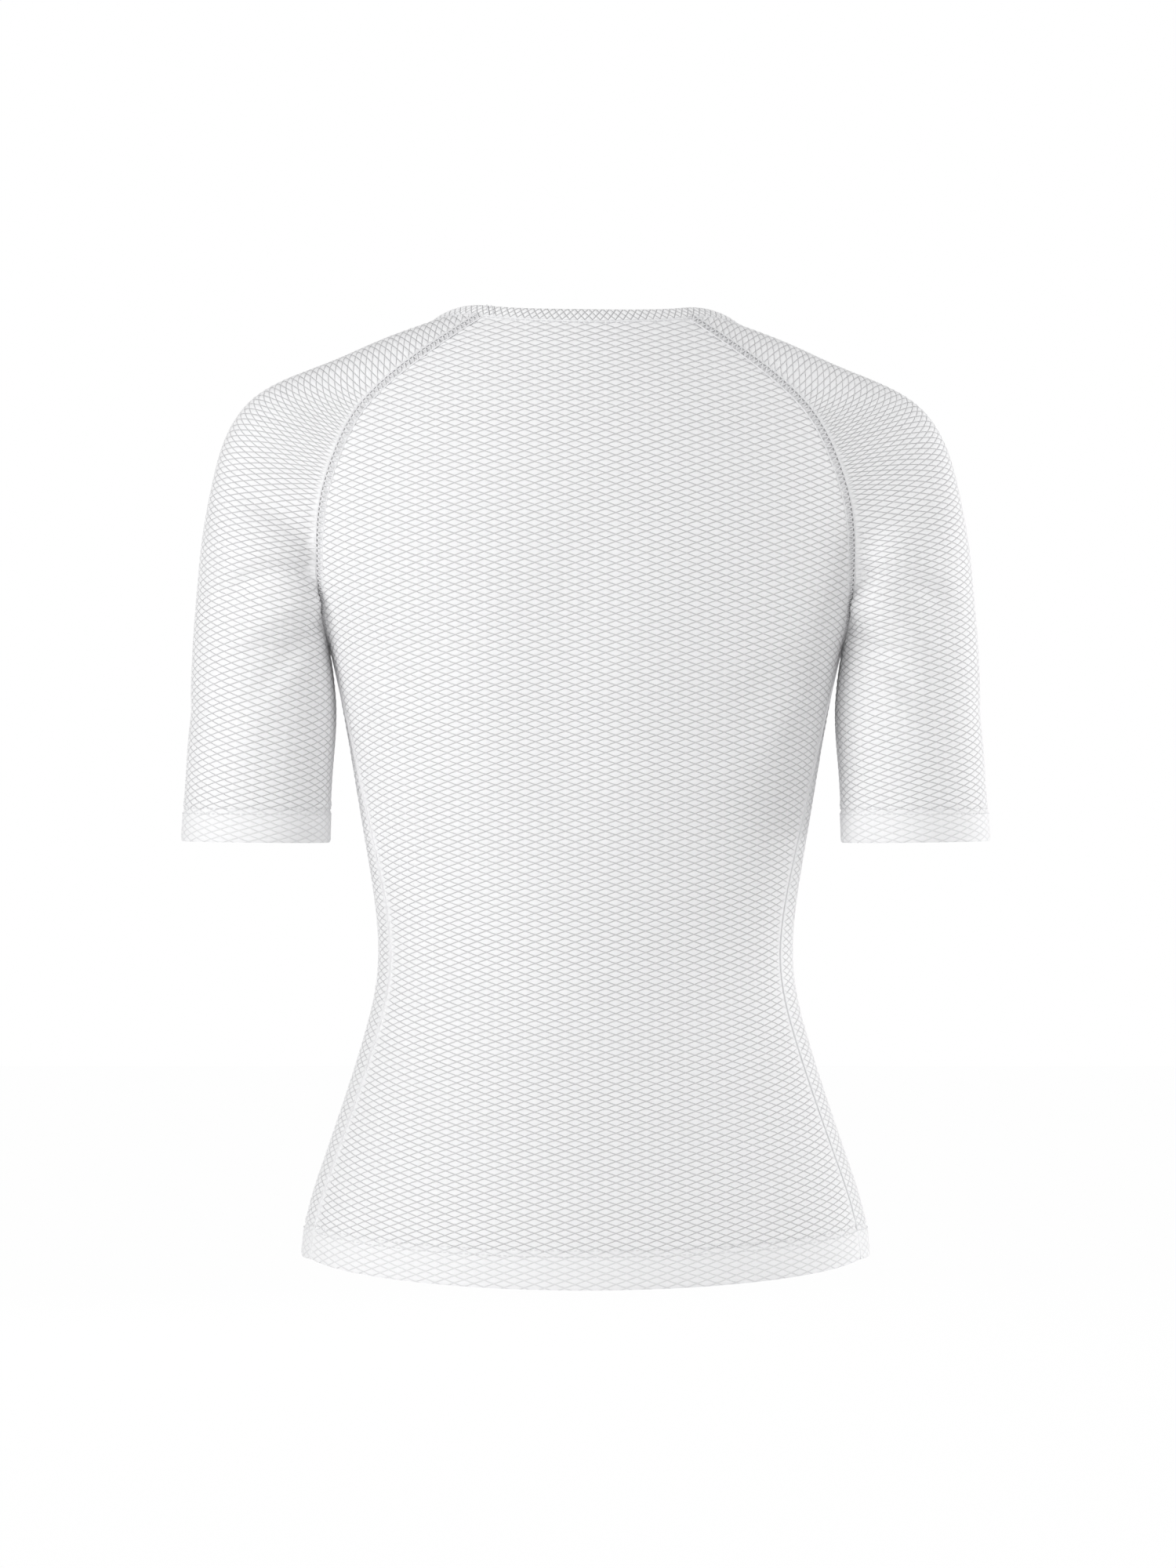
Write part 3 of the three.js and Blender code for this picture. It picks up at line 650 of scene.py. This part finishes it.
def lens_knit_group():
    """The lens mesh as a colour and a height: puffed cells, grooves drawn in and darkened with painted
    shade, and fine courses of loops.
    """
    group = bpy.data.node_groups.new("Lens mesh knit", "ShaderNodeTree")
    sockets = group.interface
    for name, kind, value in (
        ("Cell Colour", "NodeSocketColor", (0.9, 0.9, 0.9, 1)),
        ("Groove Shade Colour", "NodeSocketColor", (0.6, 0.6, 0.6, 1)),
        ("Groove Width", "NodeSocketFloat", 0.3),
    ):
        socket = sockets.new_socket(name=name, in_out="INPUT", socket_type=kind)
        socket.default_value = value
    sockets.new_socket(name="Colour", in_out="OUTPUT", socket_type="NodeSocketColor")
    sockets.new_socket(name="Height", in_out="OUTPUT", socket_type="NodeSocketFloat")
    sockets.new_socket(name="Roughness", in_out="OUTPUT", socket_type="NodeSocketFloat")
    given = group.nodes.new("NodeGroupInput")
    result = group.nodes.new("NodeGroupOutput")
    flat = group.nodes.new("ShaderNodeAttribute")
    flat.attribute_name = "cloth"
    parts = group.nodes.new("ShaderNodeSeparateXYZ")
    group.links.new(flat.outputs["Vector"], parts.inputs[0])
    u, v, relief_share = parts.outputs

    def wave(value, scale):
        turned = math_node(group, "MULTIPLY", value, scale)
        return math_node(group, "SINE", turned)

    rising = math_node(group, "ABSOLUTE", wave(math_node(group, "ADD", u, v), math.pi))
    falling = math_node(group, "ABSOLUTE", wave(math_node(group, "SUBTRACT", u, v), math.pi))
    pillow = math_node(group, "MINIMUM", rising, falling)
    # The grooves get the groove colour: painted shade for the recesses between the cells and for the shaded
    # inside seen through them.
    groove_shade = group.nodes.new("ShaderNodeMapRange")
    groove_shade.interpolation_type = "SMOOTHSTEP"
    group.links.new(pillow, groove_shade.inputs["Value"])
    group.links.new(given.outputs["Groove Width"], groove_shade.inputs["From Max"])
    cell = groove_shade.outputs["Result"]
    # Where the cells lie flat, at the seam edges, the neck edge and the turned-up hem, the painted groove
    # shade all but goes.
    closed = math_node(group, "SUBTRACT", 1.0, relief_share, clamp=True)
    cell = math_node(group, "MAXIMUM", cell, math_node(group, "MULTIPLY", closed, 0.85))
    loops = math_node(group, "MULTIPLY", wave(u, 2 * math.pi * 13), wave(v, 2 * math.pi * 5))
    noise = group.nodes.new("ShaderNodeTexNoise")
    noise.inputs["Scale"].default_value = 5.0
    noise.inputs["Detail"].default_value = 3.0
    group.links.new(flat.outputs["Vector"], noise.inputs["Vector"])
    uneven = math_node(group, "MULTIPLY", math_node(group, "SUBTRACT", noise.outputs[0], 0.5), 0.24)
    shade = math_node(group, "ADD", cell, uneven, clamp=True)
    mix = group.nodes.new("ShaderNodeMix")
    mix.data_type = "RGBA"
    group.links.new(shade, mix.inputs[0])
    group.links.new(given.outputs["Groove Shade Colour"], mix.inputs[6])
    group.links.new(given.outputs["Cell Colour"], mix.inputs[7])
    group.links.new(mix.outputs[2], result.inputs["Colour"])
    fine = math_node(group, "MULTIPLY", loops, 0.09)
    puffed = math_node(group, "POWER", cell, 0.7)
    group.links.new(math_node(group, "ADD", puffed, fine), result.inputs["Height"])
    smoother = math_node(group, "MULTIPLY", cell, -0.1)
    group.links.new(math_node(group, "ADD", smoother, 0.85), result.inputs["Roughness"])
    return group


def knit_material(name, group, cell, groove_shade, groove_width, bump):
    """A knit finish: the colour of its cells, the painted shade of its grooves, how wide the grooves are,
    and its depth in mm.
    """
    material = bpy.data.materials.new(name)
    material.use_nodes = True
    tree = material.node_tree
    shader = tree.nodes["Principled BSDF"]
    knit = tree.nodes.new("ShaderNodeGroup")
    knit.node_tree = group
    knit.inputs["Cell Colour"].default_value = (*cell, 1)
    knit.inputs["Groove Shade Colour"].default_value = (*groove_shade, 1)
    knit.inputs["Groove Width"].default_value = groove_width
    relief = tree.nodes.new("ShaderNodeBump")
    relief.inputs["Strength"].default_value = 1.0
    relief.inputs["Distance"].default_value = bump * MM
    tree.links.new(knit.outputs["Height"], relief.inputs["Height"])
    tree.links.new(relief.outputs["Normal"], shader.inputs["Normal"])
    tree.links.new(knit.outputs["Colour"], shader.inputs["Base Color"])
    tree.links.new(knit.outputs["Roughness"], shader.inputs["Roughness"])
    shader.inputs["Sheen Weight"].default_value = 0.15
    shader.inputs["Sheen Roughness"].default_value = 0.5
    shader.inputs["Specular IOR Level"].default_value = 0.3
    return material


def thread_material():
    """Twisted sewing thread."""
    material = bpy.data.materials.new("White stitching thread")
    material.use_nodes = True
    tree = material.node_tree
    shader = tree.nodes["Principled BSDF"]
    place = tree.nodes.new("ShaderNodeTexCoord")
    twist = tree.nodes.new("ShaderNodeTexNoise")
    twist.inputs["Scale"].default_value = 2200.0
    tree.links.new(place.outputs["Object"], twist.inputs["Vector"])
    colours = tree.nodes.new("ShaderNodeValToRGB")
    colours.color_ramp.elements[0].color = (0.7, 0.7, 0.71, 1)
    colours.color_ramp.elements[1].color = (0.88, 0.88, 0.89, 1)
    tree.links.new(twist.outputs[0], colours.inputs[0])
    tree.links.new(colours.outputs[0], shader.inputs["Base Color"])
    relief = tree.nodes.new("ShaderNodeBump")
    relief.inputs["Distance"].default_value = 0.1 * MM
    tree.links.new(twist.outputs[0], relief.inputs["Height"])
    tree.links.new(relief.outputs["Normal"], shader.inputs["Normal"])
    shader.inputs["Roughness"].default_value = 0.6
    return material


# ---- Build -----------------------------------------------------------------------------------------------

knit_group = lens_knit_group()
# The second colour of each knit is painted shade for its grooves.
white_mesh = knit_material(
    "White lens mesh knit", knit_group, (0.885, 0.885, 0.892), (0.70, 0.70, 0.712), 0.34, 0.36
)
band_knit = knit_material(
    "White neckband knit", knit_group, (0.9, 0.9, 0.906), (0.56, 0.56, 0.57), 0.42, 0.34
)
thread = thread_material()

panels = {"back": torso_panel("back", 144, white_mesh), "front": torso_panel("front", 156, white_mesh)}
sleeves = {side: sleeve(side, 132, white_mesh) for side in ("left", "right")}


def even_path(path, step):
    """The path in even steps."""
    lengths = run_lengths(path)
    target = np.linspace(0, lengths[-1], int(lengths[-1] / step) + 1)
    return values_at(target, lengths, path)


def neck_loop():
    """The neck edge once round: its points, the cloth's way up to it, and its outward normal."""
    back, front = panels["back"], panels["front"]
    left, right = sleeves["left"], sleeves["right"]

    def row(made, reverse):
        order = slice(None, None, -1 if reverse else 1)
        points = made["points"][0][order]
        up = unit(made["points"][0] - made["points"][INNER_SKIP])[order]
        return points, up, made["normals"][0][order]

    pieces = [row(back, False), row(left, False), row(front, True), row(right, True)]
    return [np.concatenate([piece[i] for piece in pieces]) for i in range(3)]


def band_section():
    """The folded band's section, by height and distance out, and how many of its points face outwards."""
    heights = np.linspace(-0.1, 6.4, 14)
    swell = [(h, BAND_HALF - BAND_ROUNDED * ((h - 3.2) / 3.3) ** 4) for h in heights]
    outside = swell + [(BAND_HIGH, 0.25), (BAND_HIGH, -0.25)] + [(h, -w) for h, w in swell[::-1]]
    inside = [(h, BAND_LEAF - w) for h, w in swell] + [(BAND_HIGH - BAND_LEAF, 0.0)]
    inside += [(h, w - BAND_LEAF) for h, w in swell[::-1]]
    return [(h, BAND_MIDDLE + w) for h, w in outside + inside], len(outside)


def evened(loop):
    """A closed loop of values, each drawn a little towards its neighbours."""
    for _ in range(10):
        loop = loop * 0.5 + (np.roll(loop, 1, 0) + np.roll(loop, -1, 0)) * 0.25
    return loop


def neckband(material):
    """The folded band that stands on the neck edge, with its knit's puffs on both faces."""
    neck_edge = neck_loop()
    closed = [np.concatenate([values, values[:1]]) for values in neck_edge]
    lengths = run_lengths(closed[0])
    count = round(lengths[-1] / BAND_CELL_WIDE) * BAND_CELL_STEPS
    target = np.linspace(0, lengths[-1], count, endpoint=False)
    base, rise, out = (evened(values_at(target, lengths, values)) for values in closed)
    rise = unit(unit(rise) + np.array([0, 0, 0.35]))
    out = unit(out - rise * np.sum(out * rise, -1, keepdims=True))
    section, shown_points = band_section()
    turn = np.arange(count) / BAND_CELL_STEPS
    rows, flat = [], []
    for k, (h, o) in enumerate(section):
        shown = np.sign(o - BAND_MIDDLE) * (k < shown_points) * min(1.0, (BAND_HIGH - h) / 0.8)
        puff = BAND_PUFF * (cell_relief(turn, h / BAND_CELL_HIGH) - BAND_PUFF_LEVEL) * shown
        rows.append(base + rise * h + out * (o + puff)[:, None])
        flat.append(np.stack([turn, np.full(count, h / BAND_CELL_HIGH), np.ones(count)], -1))
    grid = np.stack(rows, 1)
    flat = np.stack(flat, 1).reshape(-1, 3)
    sides = len(section)
    faces = []
    for i in range(count):
        for k in range(sides):
            a, b = i * sides + k, i * sides + (k + 1) % sides
            n = ((i + 1) % count) * sides
            faces.append((a, b, n + (k + 1) % sides, n + k))
    points = grid.reshape(-1, 3)
    faces = facing_out(points, faces)
    piece = new_piece("neckband_cloth", points, faces, flat, material, ["neckband"], 60)
    cut = 2 * BAND_HIGH + BAND_TURNINGS
    return {
        "piece": piece, "size": (lengths[-1], cut), "area": lengths[-1] * cut,
        "base": base, "out": out, "rise": rise,
    }


band = neckband(band_knit)


def stitch_mesh(name, parts):
    """One piece of all the threads of a kind."""
    points, faces = joined(parts)
    cloth = np.zeros((len(points), 3))
    return new_piece(name, points, faces, cloth, thread, [], 60)


def flatlock(panel, column):
    """Flat raglan seam: two rows of thread with a ladder of rungs between them."""
    rows = panel["points"][:, column]
    stop = np.argmin(np.abs(rows[:, 2] - (UNDERARM_Z + 3)))
    path = rows[:stop]
    normals = panel["normals"][:stop, column]
    inner = panel["points"][:stop, 12 if column == 0 else -13]
    lengths = run_lengths(path)
    count = int(lengths[-1] / RUNG_STEP)
    target = np.linspace(0.5, lengths[-1] - 0.5, count)
    line = values_at(target, lengths, path)
    normal = unit(values_at(target, lengths, normals))
    inward = values_at(target, lengths, inner - path)
    along = unit(np.gradient(line, axis=0))
    inward = unit(inward - along * np.sum(inward * along, -1, keepdims=True))
    raised = line + normal * RAIL_PROUD
    outer_rail = raised - inward * RAIL_OUTSIDE
    inner_rail = raised + inward * (RAGLAN_SEAM - RAIL_OUTSIDE)
    parts = [tube(outer_rail, 0.55), tube(inner_rail, 0.5)]
    for i in range(0, count - 2, 2):
        start, across, end = outer_rail[i], inner_rail[i + 1], outer_rail[i + 2]
        parts.append(tube([start, (start + across) / 2 + normal[i] * 0.45, across], 0.4, 4))
        parts.append(tube([across, (end + across) / 2 + normal[i] * 0.4, end], 0.4, 4))
    return parts


def stitch_row(path, normals, length, radius, proud):
    """A row of single stitches, each a short thread that dips in at both ends."""
    lengths = run_lengths(path)
    parts = []
    for start in np.arange(0.5, lengths[-1] - length, length + STITCH_GAP):
        target = start + length * np.array([0, 0.25, 0.75, 1])
        sample = values_at(target, lengths, path)
        out = values_at(target, lengths, normals)
        lift = np.array([-0.25, proud, proud, -0.25])[:, None]
        parts.append(tube(sample + unit(out) * lift, radius, 4))
    return parts


def row_at(made, from_hem):
    """A row of the cloth at that height above its hem, with the cells' relief evened out."""
    index = made["points"].shape[0] - 1 - int(round(from_hem / ROW_STEP))
    lift = made["lift"][index][:, None]
    even = np.convolve(lift[:, 0], np.ones(7) / 7, mode="same")[:, None]
    return made["points"][index] + made["normals"][index] * even, made["normals"][index]


raglan_parts = []
for which in ("back", "front"):
    for column in (0, -1):
        raglan_parts += flatlock(panels[which], column)
raglan_threads = stitch_mesh("raglan_flatlock_stitching", raglan_parts)

side_parts = []
for column in (0, -1):
    rows = panels["back"]["points"][:, column]
    start = np.argmin(np.abs(rows[:, 2] - UNDERARM_Z))
    path = even_path(rows[start:] + panels["back"]["normals"][start:, column] * 0.12, 3.0)
    side_parts.append(tube(path, 0.6, 6))
side_threads = stitch_mesh("side_seam_ridges", side_parts)

hem_parts = []
for made in (panels["back"], panels["front"], sleeves["left"], sleeves["right"]):
    for height in (HEM_DEPTH - 2.2, HEM_DEPTH + 0.4):
        path, normals = row_at(made, height)
        hem_parts += stitch_row(path, normals, 2.3, 0.26, 0.3)
hem_threads = stitch_mesh("hem_and_cuff_stitching", hem_parts)

neck_path = band["base"] + band["rise"] * -1.6 + band["out"] * 0.35
neck_parts = stitch_row(neck_path, band["out"], 2.2, 0.34, 0.3)
from_join = np.where(band["base"][:, 1] > 0, np.abs(band["base"][:, 0] - BAND_JOIN_X), np.inf)
join_column = int(np.argmin(from_join))
for shift in (-3, 3):
    rungs = []
    for part in np.linspace(0.05, 0.95, 7):
        at = join_column + shift + int(round(BAND_JOIN_SLANT * BAND_CELL_STEPS * (part - 0.5)))
        rungs.append(band["base"][at] + band["rise"][at] * BAND_HIGH * part + band["out"][at])
    neck_parts.append(tube(rungs, 0.38, 5))
neck_threads = stitch_mesh("neckband_stitching", neck_parts)

# ---- Camera, floor and light -----------------------------------------------------------------------------

DISTANCE = 3.0        # metres from the camera to the middle of the garment
FRAME_TALL = 0.92     # metres that the upright frame takes in at that distance
VIEW_X, VIEW_Z = -0.0014, -0.283
SENSOR = 36
FLOOR_BELOW = 0.32    # metres from the hem down to the floor
FLOOR_WHITE = 0.985   # how white the floor is to the camera


def look_from(position, target):
    """The turn that points a camera or a lamp at position towards target."""
    return (Vector(target) - Vector(position)).to_track_quat("-Z", "Y").to_euler()


camera_data = bpy.data.cameras.new("Camera")
camera_data.sensor_width = SENSOR
camera_data.lens = SENSOR * DISTANCE / FRAME_TALL
camera_data.clip_end = 50
camera = bpy.data.objects.new("Camera", camera_data)
camera.location = (VIEW_X, DISTANCE, VIEW_Z)
camera.rotation_euler = look_from(camera.location, (VIEW_X, 0, VIEW_Z))
bpy.context.scene.collection.objects.link(camera)
bpy.context.scene.camera = camera


def white_to_camera(tree, surface, output, share):
    """The surface as it is lit, lightened by share where the camera, glass or metal sees it."""
    path = tree.nodes.new("ShaderNodeLightPath")
    seen = math_node(tree, "MAXIMUM", path.outputs["Is Camera Ray"], path.outputs["Is Glossy Ray"])
    seen = math_node(tree, "MAXIMUM", seen, path.outputs["Is Transmission Ray"])
    glow = tree.nodes.new("ShaderNodeEmission")
    glow.inputs["Strength"].default_value = 1.0
    mix = tree.nodes.new("ShaderNodeMixShader")
    tree.links.new(math_node(tree, "MULTIPLY", seen, share), mix.inputs[0])
    tree.links.new(surface, mix.inputs[1])
    tree.links.new(glow.outputs[0], mix.inputs[2])
    tree.links.new(mix.outputs[0], output)


def floor():
    material = bpy.data.materials.new("Pale floor")
    material.use_nodes = True
    tree = material.node_tree
    shader = tree.nodes["Principled BSDF"]
    shader.inputs["Base Color"].default_value = (0.9, 0.9, 0.9, 1)
    shader.inputs["Roughness"].default_value = 0.9
    surface = tree.nodes["Material Output"].inputs["Surface"]
    white_to_camera(tree, shader.outputs[0], surface, FLOOR_WHITE)
    low = cad_box[0][2] - FLOOR_BELOW
    mesh = bpy.data.meshes.new("floor")
    mesh.from_pydata([(-8, -8, low), (8, -8, low), (8, 8, low), (-8, 8, low)], [], [(0, 1, 2, 3)])
    mesh.materials.append(material)
    ground = bpy.data.objects.new("floor", mesh)
    bpy.context.scene.collection.objects.link(ground)


def lamp(name, position, target, size, power):
    data = bpy.data.lights.new(name, "AREA")
    data.shape = "RECTANGLE"
    data.size, data.size_y = size
    data.energy = power
    light = bpy.data.objects.new(name, data)
    light.location = position
    light.rotation_euler = look_from(position, target)
    bpy.context.scene.collection.objects.link(light)


def world_light():
    world = bpy.data.worlds.new("Studio")
    bpy.context.scene.world = world
    world.use_nodes = True
    tree = world.node_tree
    tree.nodes.clear()
    output = tree.nodes.new("ShaderNodeOutputWorld")
    sky = tree.nodes.new("ShaderNodeBackground")
    sky.inputs["Strength"].default_value = 0.42
    white = tree.nodes.new("ShaderNodeBackground")
    white.inputs["Color"].default_value = (1, 1, 1, 1)
    sky.inputs["Color"].default_value = (1, 1, 1, 1)
    path = tree.nodes.new("ShaderNodeLightPath")
    mix = tree.nodes.new("ShaderNodeMixShader")
    seen = math_node(tree, "MAXIMUM", path.outputs["Is Camera Ray"], path.outputs["Is Transmission Ray"])
    tree.links.new(seen, mix.inputs[0])
    tree.links.new(sky.outputs[0], mix.inputs[1])
    tree.links.new(white.outputs[0], mix.inputs[2])
    tree.links.new(mix.outputs[0], output.inputs["Surface"])


floor()
world_light()
middle = (0, 0, VIEW_Z)
lamp("Key", (2.3, 1.9, 0.55), middle, (1.4, 1.8), 47)
lamp("Fill", (-1.0, 2.5, 1.1), middle, (1.8, 2.0), 19)
lamp("Right rim", (-2.4, -0.4, 0.1), middle, (0.9, 1.8), 30)
lamp("Front", (0.6, -2.8, 0.4), middle, (1.8, 1.8), 26)
bpy.context.scene.view_settings.view_transform = "Standard"
